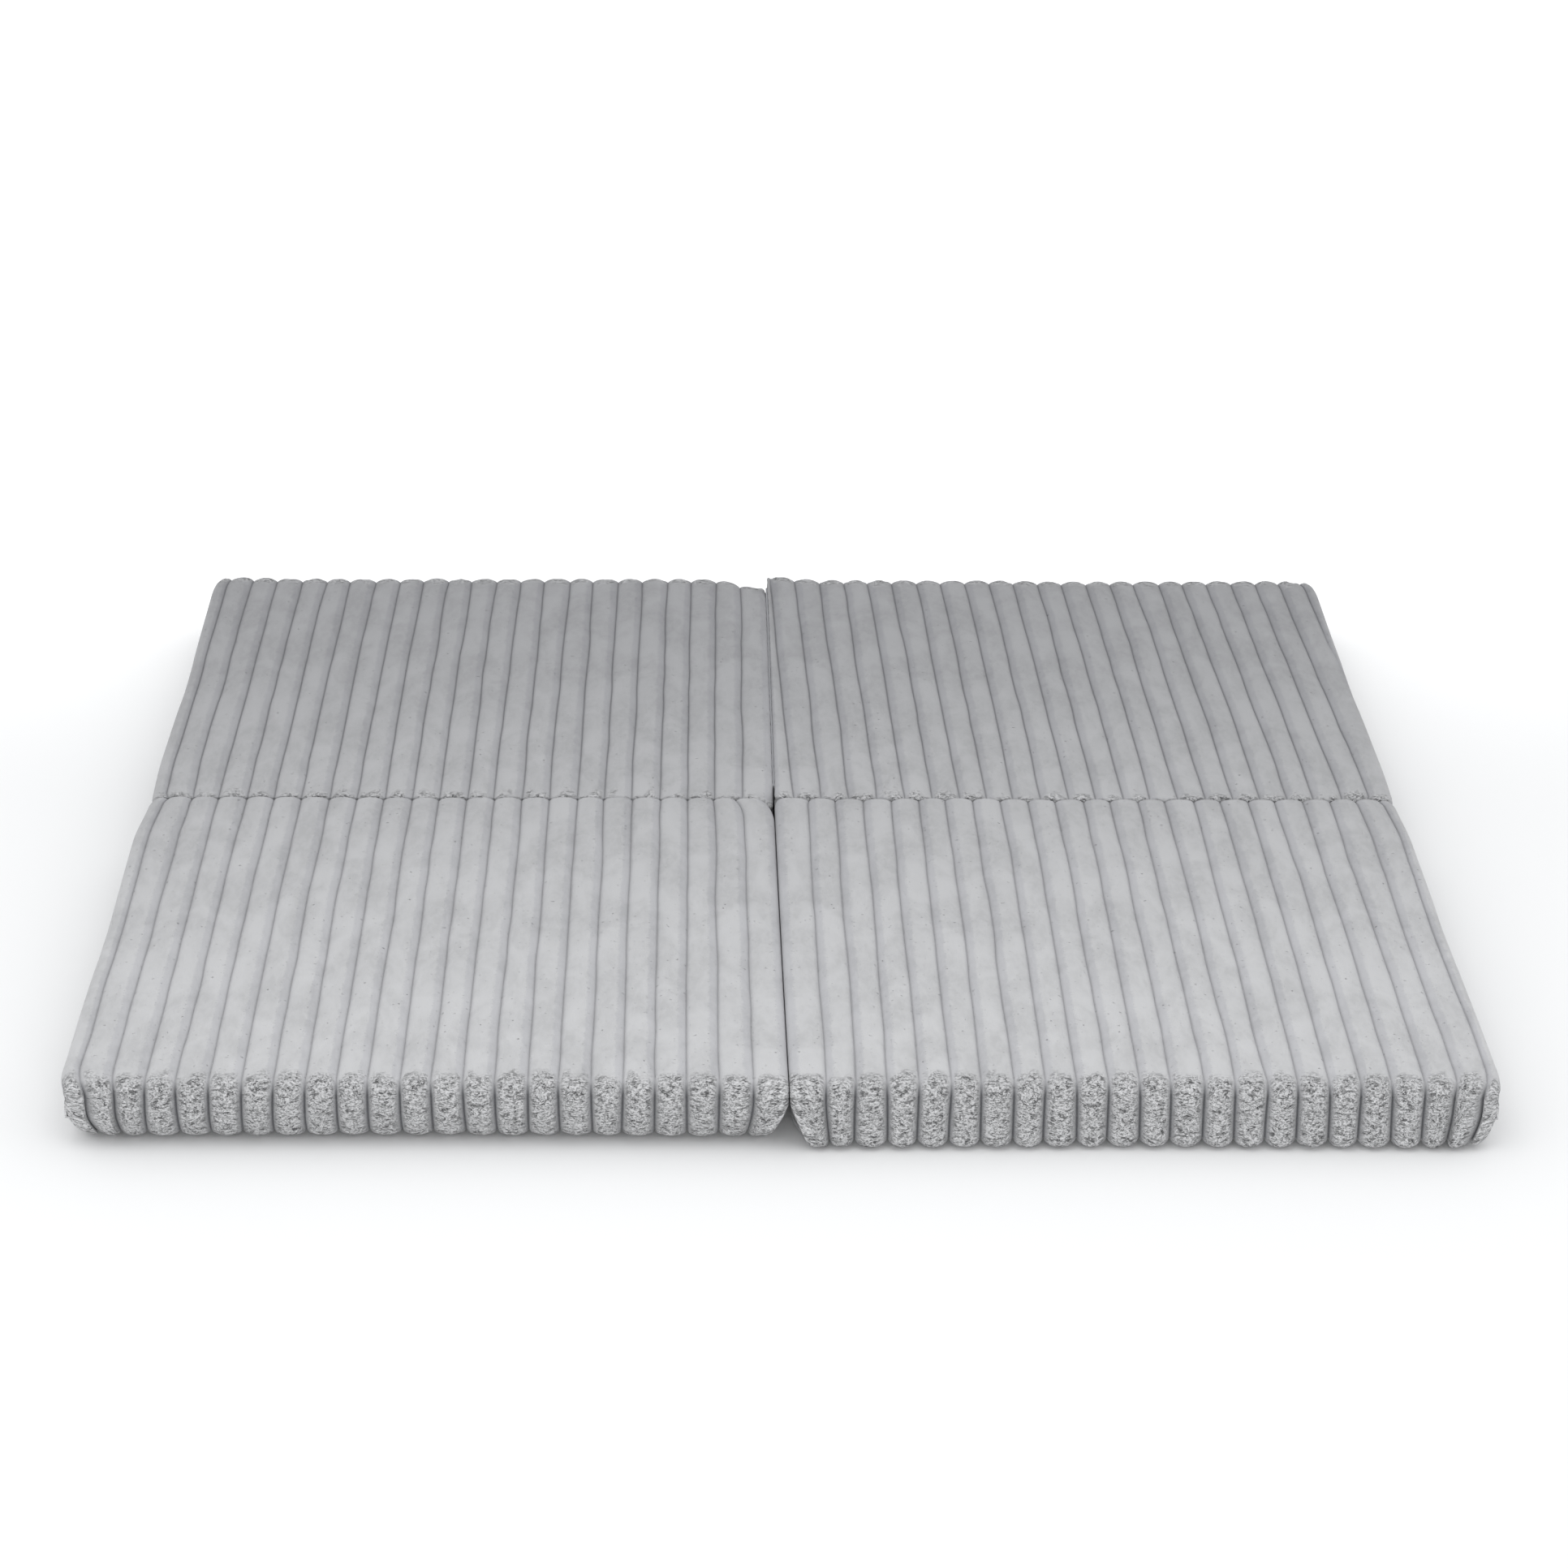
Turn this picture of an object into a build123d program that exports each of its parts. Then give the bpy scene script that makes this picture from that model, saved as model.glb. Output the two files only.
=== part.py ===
"""Four-panel folding memory foam mattress with removable corduroy covers.

Frame: +X to the sleeper's right, +Y to the back, +Z up. The origin is on the floor under the
middle of the unfolded mattress. Millimetres.

Each panel is built in its own local frame, whose local +X points to the panel's outer side, so
the left panels are the right ones turned half a turn about +Z.
"""
import os

from build123d import *

# ---- overall sizes ------------------------------------------------------------------------
panel_width = 598.0  # X size of one panel, over its cover
panel_depth = 598.0  # Y size of one panel, over its cover
panel_height = 67.0  # Z size of one panel, over its cover
seam_gap = 4.0  # between the side faces of neighbouring panels

# ---- corduroy cover -----------------------------------------------------------------------
cover_thickness = 6.0  # corduroy with its pile and backing
cover_corner_radius = 20.0  # vertical corners of a panel
cover_edge_radius = 8.0  # edges round the top and the bottom
gusset_border = 9.0  # cover left above and below a gusset
sewing_ease = 0.2  # between two cover pieces that are sewn together

# ---- filling ------------------------------------------------------------------------------
liner_thickness = 1.0
liner_ease = 0.3  # between the liner and the cover round it
memory_foam_height = 20.0
foam_ease = 0.2  # between the foam and the liner round it

# ---- zip in each outer gusset ---------------------------------------------------------------
zip_window_length = 520.0
zip_window_height = 14.0
zip_tape_width = 15.0
zip_tape_thickness = 0.8
zip_tape_overlap = 8.0  # of a tape past each end of the window
zip_row_gap = 1.4  # between the two rows of coil, where the slider's post runs
zip_row_height = 2.3
zip_row_thickness = 1.8
zip_end_margin = 6.0  # from an end of the window to the coil
zip_stop_length = 3.0
slider_length = 12.0
slider_plate_thickness = 1.2
slider_flange_thickness = 0.8
slider_clearance = 0.4  # round the coil and the tapes
slider_post_thickness = 0.6
slider_post_length = 3.0
slider_neck_length = 4.0
slider_neck_width = 1.4
slider_neck_wall = 0.6
zip_room = 4.0  # behind the outer gusset for the tapes and the slider's back plate

pull_pin_radius = 0.5
pull_pin_clearance = 0.25
pull_arm_gap = 0.3  # between the slider's neck and each arm
pull_arm_width = 1.2
pull_arm_length = 6.0
pull_tab_length = 22.0
pull_tab_width = 7.0
pull_tab_thickness = 1.0
pull_tab_corner_radius = 2.0

# ---- sewn hinges ----------------------------------------------------------------------------
hinge_tape_height = 26.0
hinge_tape_gap = 0.4  # between the two tapes of one hinge
hinge_tape_edge = 0.5  # of a tape's edge inside the face that folds together
hinge_end_margin = 30.0  # from a panel's corner to the end of its hinge tape

# ---- sizes that follow ------------------------------------------------------------------------
half_width = panel_width / 2
half_depth = panel_depth / 2
mid_height = panel_height / 2
panel_pitch_x = panel_width + seam_gap
panel_pitch_y = panel_depth + seam_gap

gusset_length = panel_depth - 2 * cover_corner_radius
gusset_height = panel_height - 2 * gusset_border

liner_outer_x = half_width - cover_thickness - zip_room
liner_inner_x = -(half_width - cover_thickness - liner_ease)
liner_length = panel_depth - 2 * (cover_thickness + liner_ease)
liner_height = panel_height - 2 * (cover_thickness + liner_ease)
liner_base = cover_thickness + liner_ease
liner_corner_radius = cover_corner_radius - cover_thickness - liner_ease

foam_inset = liner_thickness + foam_ease
foam_outer_x = liner_outer_x - foam_inset
foam_inner_x = liner_inner_x + foam_inset
foam_length = liner_length - 2 * foam_inset
foam_base = liner_base + foam_inset
foam_top = liner_base + liner_height - foam_inset
foam_corner_radius = liner_corner_radius - foam_inset
base_foam_height = foam_top - foam_base - memory_foam_height

# The zip is set inwards from the panel's outer face, along local X.
tape_face_x = half_width - cover_thickness
row_face_x = tape_face_x + zip_row_thickness
front_plate_x = row_face_x + slider_clearance
slider_face_x = front_plate_x + slider_plate_thickness
pull_axis_x = slider_face_x + pull_pin_clearance + pull_pin_radius
back_plate_x = tape_face_x - zip_tape_thickness - slider_clearance
row_outer_z = zip_row_gap / 2 + zip_row_height
slider_half_height = row_outer_z + slider_clearance + slider_flange_thickness
# The window is longer than the coil at the open end, where the pull lies ahead of the slider.
pull_room = pull_arm_length + pull_tab_length - slider_length / 2
row_length = zip_window_length - 2 * zip_end_margin - pull_room
row_middle = pull_room / 2
stop_place = (row_length + zip_stop_length) / 2
slider_park = row_middle + (row_length - slider_length) / 2 - slider_clearance
pull_arm_inner = slider_neck_width / 2 + pull_arm_gap
pull_span = 2 * (pull_arm_inner + pull_arm_width)

os.makedirs("parts", exist_ok=True)


def save(builder, label):
    """Name a finished piece and write it as one node."""
    builder.part.label = label
    export_step(builder.part, f"parts/{label}.step")


def cover_wrap(frame):
    """Top, front, bottom and back of a cover, with a mouth in each side for a gusset."""
    with BuildPart(frame) as wrap:
        with BuildSketch(frame):
            RectangleRounded(panel_width, panel_depth, cover_corner_radius)
        extrude(amount=panel_height)
        fillet(wrap.faces().sort_by(Axis.Z)[-1].edges(), cover_edge_radius)
        fillet(wrap.faces().sort_by(Axis.Z)[0].edges(), cover_edge_radius)
        with BuildSketch(frame.offset(cover_thickness)):
            RectangleRounded(
                panel_width - 2 * cover_thickness,
                panel_depth - 2 * cover_thickness,
                cover_corner_radius - cover_thickness,
            )
        extrude(amount=panel_height - 2 * cover_thickness, mode=Mode.SUBTRACT)
        with Locations((0, 0, mid_height)):
            Box(panel_width, gusset_length, gusset_height, mode=Mode.SUBTRACT)
    return wrap


def gusset(frame, side, window):
    """A side band that fills a mouth of the wrap. side is +1 for the outer one."""
    middle = side * (half_width - cover_thickness / 2)
    with BuildPart(frame) as band:
        with Locations((middle, 0, mid_height)):
            Box(cover_thickness, gusset_length - 2 * sewing_ease, gusset_height - 2 * sewing_ease)
            if window:
                Box(cover_thickness, zip_window_length, zip_window_height, mode=Mode.SUBTRACT)
    return band


def foam_liner(frame):
    """Thin closed sock that keeps the two foams together when the cover is off."""
    middle = (liner_outer_x + liner_inner_x) / 2
    width = liner_outer_x - liner_inner_x
    with BuildPart(frame) as liner:
        with BuildSketch(frame.offset(liner_base)):
            with Locations((middle, 0)):
                RectangleRounded(width, liner_length, liner_corner_radius)
        extrude(amount=liner_height)
        with BuildSketch(frame.offset(liner_base + liner_thickness)):
            with Locations((middle, 0)):
                RectangleRounded(
                    width - 2 * liner_thickness,
                    liner_length - 2 * liner_thickness,
                    liner_corner_radius - liner_thickness,
                )
        extrude(amount=liner_height - 2 * liner_thickness, mode=Mode.SUBTRACT)
    return liner


def foam_block(frame, base, height):
    """One foam slab, from its underside's height."""
    with BuildPart(frame) as foam:
        with BuildSketch(frame.offset(base)):
            with Locations(((foam_outer_x + foam_inner_x) / 2, 0)):
                RectangleRounded(foam_outer_x - foam_inner_x, foam_length, foam_corner_radius)
        extrude(amount=height)
    return foam


def zip_tape(frame, side):
    """Woven tape behind the window. side is +1 above the zip's middle and -1 below it."""
    near = zip_row_gap / 2
    with BuildPart(frame) as tape:
        with Locations(
            (tape_face_x - zip_tape_thickness / 2, 0, mid_height + side * (near + zip_tape_width / 2))
        ):
            Box(zip_tape_thickness, zip_window_length + 2 * zip_tape_overlap, zip_tape_width)
    return tape


def zip_row(frame, side, heading):
    """One row of the coil, as the closed bar that its turns fill."""
    with BuildPart(frame) as row:
        with Locations(
            (
                tape_face_x + zip_row_thickness / 2,
                heading * row_middle,
                mid_height + side * (zip_row_gap + zip_row_height) / 2,
            )
        ):
            Box(zip_row_thickness, row_length, zip_row_height)
    return row


def zip_stops(frame, heading):
    """The two clamps that close the ends of the coil."""
    depth = tape_face_x + zip_row_thickness / 2
    middle = heading * row_middle
    with BuildPart(frame) as stops:
        with Locations((depth, middle + stop_place, mid_height), (depth, middle - stop_place, mid_height)):
            Box(zip_row_thickness, zip_stop_length, 2 * row_outer_z)
    return stops


def zip_slider(frame, heading):
    """Slider body at its closed end. heading is the local Y sign of that end."""
    place = heading * slider_park
    flange_height = row_outer_z + slider_clearance
    flange_depth = slider_face_x - tape_face_x - slider_clearance
    post_depth = slider_face_x - back_plate_x + slider_plate_thickness
    neck_depth = pull_axis_x + pull_pin_radius + pull_pin_clearance + slider_neck_wall - slider_face_x
    with BuildPart(frame) as slider:
        with Locations((slider_face_x - slider_plate_thickness / 2, place, mid_height)):
            Box(slider_plate_thickness, slider_length, 2 * slider_half_height)
        with Locations((back_plate_x - slider_plate_thickness / 2, place, mid_height)):
            Box(slider_plate_thickness, slider_length, 2 * slider_half_height)
        for side in (1, -1):
            with Locations(
                (
                    slider_face_x - flange_depth / 2,
                    place,
                    mid_height + side * (flange_height + slider_flange_thickness / 2),
                )
            ):
                Box(flange_depth, slider_length, slider_flange_thickness)
        with Locations(
            (
                slider_face_x - post_depth / 2,
                place + heading * (slider_length - slider_post_length) / 2,
                mid_height,
            )
        ):
            Box(post_depth, slider_post_length, slider_post_thickness)
        with Locations((slider_face_x + neck_depth / 2, place, mid_height)):
            Box(neck_depth, slider_neck_length, slider_neck_width)
        with Locations((pull_axis_x, place, mid_height)):
            Box(
                2 * (pull_pin_radius + pull_pin_clearance),
                slider_neck_length - 2 * slider_neck_wall,
                slider_neck_width,
                mode=Mode.SUBTRACT,
            )
    return slider


def zip_pull(frame, heading):
    """Pull tab with a cross pin through the slider's neck, lying along the closed zip."""
    place = heading * slider_park
    arm_middle = pull_arm_inner + pull_arm_width / 2
    tab_middle = place - heading * (pull_arm_length + pull_tab_length / 2)
    axis_point = frame.from_local_coords(Vector(pull_axis_x, place, mid_height - pull_span / 2))
    tab_point = frame.from_local_coords(
        Vector(pull_axis_x - pull_tab_thickness / 2, tab_middle, mid_height)
    )
    with BuildPart(frame) as pull:
        with BuildSketch(Plane(axis_point, z_dir=(0, 0, 1))):
            Circle(pull_pin_radius)
        extrude(amount=pull_span)
        for side in (1, -1):
            with Locations(
                (
                    pull_axis_x,
                    place - heading * pull_arm_length / 2,
                    mid_height + side * arm_middle,
                )
            ):
                Box(pull_tab_thickness, pull_arm_length, pull_arm_width)
        with BuildSketch(Plane(tab_point, x_dir=frame.y_dir, z_dir=frame.x_dir)):
            RectangleRounded(pull_tab_length, pull_tab_width, pull_tab_corner_radius)
        extrude(amount=pull_tab_thickness)
    return pull


def hinge_tape(middle, size):
    """One seam allowance of a sewn hinge, standing in the gap between two panels."""
    with BuildPart() as tape:
        with Locations(middle):
            Box(*size)
    return tape


# ---- the four panels --------------------------------------------------------------------------
for side_name, side in (("left", -1), ("right", 1)):
    for end_name, end in (("front", -1), ("back", 1)):
        panel = f"{end_name}_{side_name}"
        panel_frame = Plane(
            origin=(side * panel_pitch_x / 2, end * panel_pitch_y / 2, 0),
            x_dir=(side, 0, 0),
            z_dir=(0, 0, 1),
        )
        save(cover_wrap(panel_frame), f"{panel}_cover")
        save(gusset(panel_frame, -1, False), f"{panel}_inner_gusset")
        save(gusset(panel_frame, 1, True), f"{panel}_outer_gusset")
        save(foam_liner(panel_frame), f"{panel}_liner")
        save(foam_block(panel_frame, foam_base, base_foam_height), f"{panel}_base_foam")
        save(
            foam_block(panel_frame, foam_base + base_foam_height, memory_foam_height),
            f"{panel}_memory_foam",
        )
        for row_name, row_side in (("upper", 1), ("lower", -1)):
            save(zip_tape(panel_frame, row_side), f"{panel}_zip_{row_name}_tape")
            save(zip_row(panel_frame, row_side, side), f"{panel}_zip_{row_name}_coil")
        save(zip_stops(panel_frame, side), f"{panel}_zip_stops")
        save(zip_slider(panel_frame, side), f"{panel}_zip_slider")
        save(zip_pull(panel_frame, side), f"{panel}_zip_pull")

# ---- the three sewn hinges --------------------------------------------------------------------
hinge_tape_thickness = (seam_gap - hinge_tape_gap) / 2
hinge_tape_offset = (hinge_tape_gap + hinge_tape_thickness) / 2
top_tape_middle = panel_height - hinge_tape_edge - hinge_tape_height / 2
bottom_tape_middle = hinge_tape_edge + hinge_tape_height / 2

for side_name, side in (("left", -1), ("right", 1)):
    save(
        hinge_tape(
            (side * hinge_tape_offset, panel_pitch_y / 2, top_tape_middle),
            (hinge_tape_thickness, panel_depth - 2 * hinge_end_margin, hinge_tape_height),
        ),
        f"centre_hinge_{side_name}_tape",
    )
    for end_name, end in (("front", -1), ("back", 1)):
        save(
            hinge_tape(
                (side * panel_pitch_x / 2, end * hinge_tape_offset, bottom_tape_middle),
                (panel_width - 2 * hinge_end_margin, hinge_tape_thickness, hinge_tape_height),
            ),
            f"{side_name}_hinge_{end_name}_tape",
        )
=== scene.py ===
import math

import bmesh
import bpy
import numpy as np
from mathutils import Matrix, Vector
from mathutils.bvhtree import BVHTree


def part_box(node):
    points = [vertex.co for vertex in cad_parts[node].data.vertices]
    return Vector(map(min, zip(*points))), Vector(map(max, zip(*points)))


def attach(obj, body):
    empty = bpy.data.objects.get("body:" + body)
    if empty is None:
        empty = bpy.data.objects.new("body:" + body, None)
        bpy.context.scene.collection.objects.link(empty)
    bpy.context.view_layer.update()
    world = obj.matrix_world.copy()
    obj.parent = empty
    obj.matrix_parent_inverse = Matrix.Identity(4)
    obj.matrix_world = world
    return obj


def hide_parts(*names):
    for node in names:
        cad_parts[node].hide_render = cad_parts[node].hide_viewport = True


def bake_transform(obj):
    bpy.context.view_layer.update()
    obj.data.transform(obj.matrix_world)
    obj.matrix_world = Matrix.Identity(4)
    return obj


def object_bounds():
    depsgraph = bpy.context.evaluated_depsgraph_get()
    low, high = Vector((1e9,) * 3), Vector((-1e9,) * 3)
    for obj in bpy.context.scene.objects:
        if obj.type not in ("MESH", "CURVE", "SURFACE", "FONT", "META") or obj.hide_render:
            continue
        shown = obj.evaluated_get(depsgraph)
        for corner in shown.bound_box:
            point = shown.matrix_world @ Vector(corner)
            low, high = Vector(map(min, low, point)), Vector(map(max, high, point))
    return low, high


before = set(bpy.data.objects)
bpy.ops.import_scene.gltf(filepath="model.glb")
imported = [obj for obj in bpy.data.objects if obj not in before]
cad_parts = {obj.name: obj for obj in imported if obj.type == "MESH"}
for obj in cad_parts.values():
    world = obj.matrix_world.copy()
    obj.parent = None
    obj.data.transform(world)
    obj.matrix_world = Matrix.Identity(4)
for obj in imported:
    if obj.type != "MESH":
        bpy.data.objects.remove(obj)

cad_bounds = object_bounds()

MM = 0.001
PANELS = ("front_left", "back_left", "front_right", "back_right")


# ---------------------------------------------------------------- numbers and noise
def smoothstep(t):
    t = np.clip(t, 0.0, 1.0)
    return t * t * (3.0 - 2.0 * t)


def lattice(a, b, cell_a, cell_b, seed):
    """Smooth value noise from 0 to 1 on a grid of cells, the same each run."""
    size = 256
    table = np.random.default_rng(seed).random((size, size))
    u, v = a / cell_a, b / cell_b
    i, j = np.floor(u).astype(int), np.floor(v).astype(int)
    fu, fv = smoothstep(u - i), smoothstep(v - j)
    i0, i1, j0, j1 = i % size, (i + 1) % size, j % size, (j + 1) % size
    low = table[i0, j0] * (1 - fu) + table[i1, j0] * fu
    high = table[i0, j1] * (1 - fu) + table[i1, j1] * fu
    return low * (1 - fv) + high * fv


def signed(a, b, cell_a, cell_b, seed):
    return 2.0 * lattice(a, b, cell_a, cell_b, seed) - 1.0


# ---------------------------------------------------------------- materials
def linear(code):
    """An sRGB hex colour as linear RGBA."""
    parts = [int(code[i : i + 2], 16) / 255 for i in (1, 3, 5)]
    return [c / 12.92 if c <= 0.04045 else ((c + 0.055) / 1.055) ** 2.4 for c in parts] + [1.0]


def add(tree, kind, links=None, **settings):
    """A node with its settings. links gives each input a value or the socket that feeds it."""
    made = tree.nodes.new(kind)
    for key, value in settings.items():
        setattr(made, key, value)
    for key, value in (links or {}).items():
        socket = made.inputs[key]
        if isinstance(value, bpy.types.NodeSocket):
            tree.links.new(value, socket)
        else:
            socket.default_value = value
    return made


def maths(tree, operation, *values, clamp=False):
    made = add(tree, "ShaderNodeMath", dict(enumerate(values)), operation=operation, use_clamp=clamp)
    return made.outputs[0]


def spread(tree, value, low, high, to_low=0.0, to_high=1.0):
    ends = {"From Min": low, "From Max": high, "To Min": to_low, "To Max": to_high}
    made = add(tree, "ShaderNodeMapRange", {"Value": value, **ends}, interpolation_type="SMOOTHSTEP")
    return made.outputs["Result"]


def noise(tree, vector, per_metre, detail=2.0, roughness=0.5, distortion=0.0):
    links = {"Vector": vector, "Scale": per_metre, "Detail": detail, "Roughness": roughness}
    links["Distortion"] = distortion
    return add(tree, "ShaderNodeTexNoise", links, noise_dimensions="3D").outputs["Fac"]


def stretched(tree, vector, scale):
    return add(tree, "ShaderNodeMapping", {"Vector": vector, "Scale": scale}).outputs["Vector"]


def mixed(tree, factor, first, second, blend="MIX"):
    made = add(tree, "ShaderNodeMix", {"Factor": factor}, data_type="RGBA", blend_type=blend)
    for index, value in ((6, first), (7, second)):
        if isinstance(value, bpy.types.NodeSocket):
            tree.links.new(value, made.inputs[index])
        else:
            made.inputs[index].default_value = value
    return made.outputs[2]


def bumped(tree, height, strength, distance, below=None):
    """A bump's normal, on top of another one if below is given."""
    links = {"Height": height, "Strength": strength, "Distance": distance}
    if below is not None:
        links["Normal"] = below
    return add(tree, "ShaderNodeBump", links).outputs["Normal"]


def new_material(name):
    """An empty material with its tree and principled shader."""
    material = bpy.data.materials.new(name)
    material.use_nodes = True
    tree = material.node_tree
    return material, tree, tree.nodes["Principled BSDF"]


def wrinkles(tree, vector, scale, per_metre, width, share):
    """Short dark creases: thin lines where a noise crosses its middle, broken up by another."""
    drawn = noise(tree, stretched(tree, vector, scale), per_metre, 4.0, 0.6, 0.8)
    line = maths(tree, "ABSOLUTE", maths(tree, "SUBTRACT", drawn, 0.5))
    line = spread(tree, line, 0.0, width, 1.0, 0.0)
    broken = noise(tree, vector, per_metre * 0.8, 2.0, 0.5)
    return maths(tree, "MULTIPLY", line, spread(tree, broken, share, share + 0.08))


def corduroy_material(name, crown, painted_groove_shade, far):
    """Jumbo corduroy with a deep plush pile: brushed flat on top, open and clumped at the ends."""
    material, tree, shader = new_material(name)
    uv = add(tree, "ShaderNodeUVMap", uv_map="cloth").outputs["UV"]
    groove, nap, across, turned, lie = (
        add(tree, "ShaderNodeAttribute", attribute_name=key).outputs["Fac"]
        for key in ("groove", "nap", "across", "turned", "lie")
    )
    closed = maths(tree, "SUBTRACT", 1.0, nap, clamp=True)

    # Broad brushed patches, the finer ones inside them, and single fibres.
    patches = noise(tree, stretched(tree, uv, (1.0, 0.5, 1.0)), 24.0, 4.0, 0.6, 0.5)
    mottle = noise(tree, stretched(tree, uv, (1.0, 0.45, 1.0)), 130.0, 4.0, 0.65, 0.6)
    fibres = noise(tree, uv, 1500.0, 3.0, 0.65)
    tufts = noise(tree, uv, 620.0, 3.0, 0.65, 0.4)
    clumps = noise(tree, stretched(tree, uv, (0.7, 1.0, 1.0)), 360.0, 4.0, 0.62, 0.9)

    # Open cracks in the pile at the ends, small ones there, and rare ones on the broad faces; the dark
    # colour in them is painted shade.
    cracks = wrinkles(tree, uv, (0.42, 1.2, 1.0), 210.0, 0.046, 0.485)
    fine_cracks = wrinkles(tree, uv, (0.55, 1.1, 1.0), 520.0, 0.055, 0.45)
    rare = wrinkles(tree, uv, (0.9, 1.0, 1.0), 300.0, 0.040, 0.655)
    opened = maths(tree, "MAXIMUM", cracks, maths(tree, "MULTIPLY", fine_cracks, 0.55))
    opened = maths(tree, "MULTIPLY", opened, nap)
    rare = maths(tree, "MULTIPLY", rare, closed)

    # The soft valley beside each groove is painted shade, with an uneven border and loose specks along
    # it.
    border = maths(tree, "MULTIPLY_ADD", mottle, 0.20, across)
    valley_shade = maths(tree, "MULTIPLY", spread(tree, border, 0.41, 0.31), closed)
    other = maths(tree, "MULTIPLY", spread(tree, across, 0.88, 0.98), closed)
    other = maths(tree, "MULTIPLY", other, 0.6)
    line = spread(tree, groove, 0.88, 1.0)
    from_border = maths(tree, "ABSOLUTE", maths(tree, "SUBTRACT", border, 0.38))
    specks = wrinkles(tree, uv, (1.0, 0.8, 1.0), 520.0, 0.06, 0.54)
    specks = maths(tree, "MULTIPLY", specks, spread(tree, from_border, 0.07, 0.0))
    specks = maths(tree, "MULTIPLY", specks, closed)

    # Painted shade: the base colour goes from the crown colour at the front to the darker far colour at
    # the back.
    light = mixed(tree, lie, crown, far)
    dim = mixed(tree, 1.0, light, linear("#ececec"), "MULTIPLY")
    tone = mixed(tree, spread(tree, patches, 0.36, 0.66), dim, light)
    tone = mixed(tree, maths(tree, "MULTIPLY", spread(tree, mottle, 0.36, 0.66), 0.5), tone, light)
    shade = mixed(tree, 1.0, tone, linear("#f3f3f5"), "MULTIPLY")
    # Painted shade in the valleys on both sides of each groove.
    tone = mixed(tree, maths(tree, "MAXIMUM", valley_shade, other), tone, shade)
    # Painted shade: the end lobes' flanks darken towards the grooves, and a dark line fills each
    # groove, stronger at the back and at the ends.
    flank_shade = maths(tree, "MULTIPLY", spread(tree, groove, 0.40, 1.0, 0.0, 0.56), turned)
    tone = mixed(tree, flank_shade, tone, painted_groove_shade)
    groove_line_shade = maths(tree, "MAXIMUM", spread(tree, lie, 0.3, 0.7, 0.28, 0.6), turned)
    tone = mixed(tree, maths(tree, "MULTIPLY", line, groove_line_shade), tone, painted_groove_shade)
    tone = mixed(tree, maths(tree, "MULTIPLY", specks, 0.5), tone, linear("#77787b"))
    # Painted light: the open pile at the ends is made lighter, standing in for the light on the end
    # faces.
    tone = mixed(tree, maths(tree, "MULTIPLY", nap, 0.65), tone, linear("#dededf"))
    # Painted shade in the open cracks of the pile, and in the rare ones on the broad faces.
    tone = mixed(tree, maths(tree, "MULTIPLY", opened, 0.95), tone, linear("#2b2c2f"))
    tone = mixed(tree, maths(tree, "MULTIPLY", rare, 0.45), tone, linear("#66676a"))

    fine = bumped(tree, fibres, 0.5, 0.6 * MM)
    soft = bumped(tree, tufts, spread(tree, turned, 0.0, 1.0, 0.3, 0.9), 1.0 * MM, fine)
    open_height = maths(tree, "MULTIPLY", clumps, nap)
    open_height = maths(tree, "SUBTRACT", open_height, maths(tree, "MULTIPLY", opened, 0.5))
    open_height = maths(tree, "SUBTRACT", open_height, maths(tree, "MULTIPLY", rare, 0.25))
    tree.links.new(tone, shader.inputs["Base Color"])
    tree.links.new(bumped(tree, open_height, 0.95, 3.2 * MM, soft), shader.inputs["Normal"])
    shader.inputs["Roughness"].default_value = 0.92
    shader.inputs["Specular IOR Level"].default_value = 0.12
    shader.inputs["Sheen Weight"].default_value = 0.2
    shader.inputs["Sheen Roughness"].default_value = 0.5
    return material


def simple_material(name, code, roughness, per_metre, bump_mm, contrast=0.12, metallic=0.0):
    """A plain finish with a fine mottle in its colour, roughness and surface."""
    material, tree, shader = new_material(name)
    place = add(tree, "ShaderNodeTexCoord").outputs["Object"]
    grain = noise(tree, place, per_metre, 4.0, 0.6)
    base = linear(code)
    darker = [c * (1 - contrast) for c in base[:3]] + [1.0]
    tree.links.new(mixed(tree, grain, darker, base), shader.inputs["Base Color"])
    tree.links.new(
        spread(tree, grain, 0.3, 0.7, roughness * 0.9, min(1.0, roughness * 1.1)),
        shader.inputs["Roughness"],
    )
    tree.links.new(bumped(tree, grain, 0.6, bump_mm * MM), shader.inputs["Normal"])
    shader.inputs["Metallic"].default_value = metallic
    return material


# Two of these colours are painted shade: the third darkens the back, and the second fills the grooves
# and the end lobes' flanks.
corduroy = corduroy_material(
    "grey_corduroy_pile", linear("#c7c7c8"), linear("#5d5e61"), linear("#9b9b9d")
)
hinge_cloth = simple_material("hinge_tape_twill", "#9c9da0", 0.9, 900.0, 0.2)
liner_knit = simple_material("white_liner_knit", "#e6e5e0", 0.9, 1200.0, 0.2)
memory_foam = simple_material("cream_memory_foam", "#e6dcb4", 0.85, 700.0, 0.35)
base_foam = simple_material("grey_base_foam", "#c3c7cd", 0.85, 500.0, 0.5)
sewing_thread = simple_material("polyester_sewing_thread", "#85868a", 0.6, 2500.0, 0.05)
tape_cloth = simple_material("zip_tape_polyester", "#8a8b8f", 0.85, 1500.0, 0.12)
coil_nylon = simple_material("zip_coil_nylon", "#7d7e82", 0.45, 900.0, 0.05)
zip_metal = simple_material("zip_slider_painted_zinc", "#6f7074", 0.35, 300.0, 0.03, metallic=0.6)
stop_metal = simple_material("zip_stop_aluminium", "#b4b5b8", 0.3, 300.0, 0.03, metallic=0.9)


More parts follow.
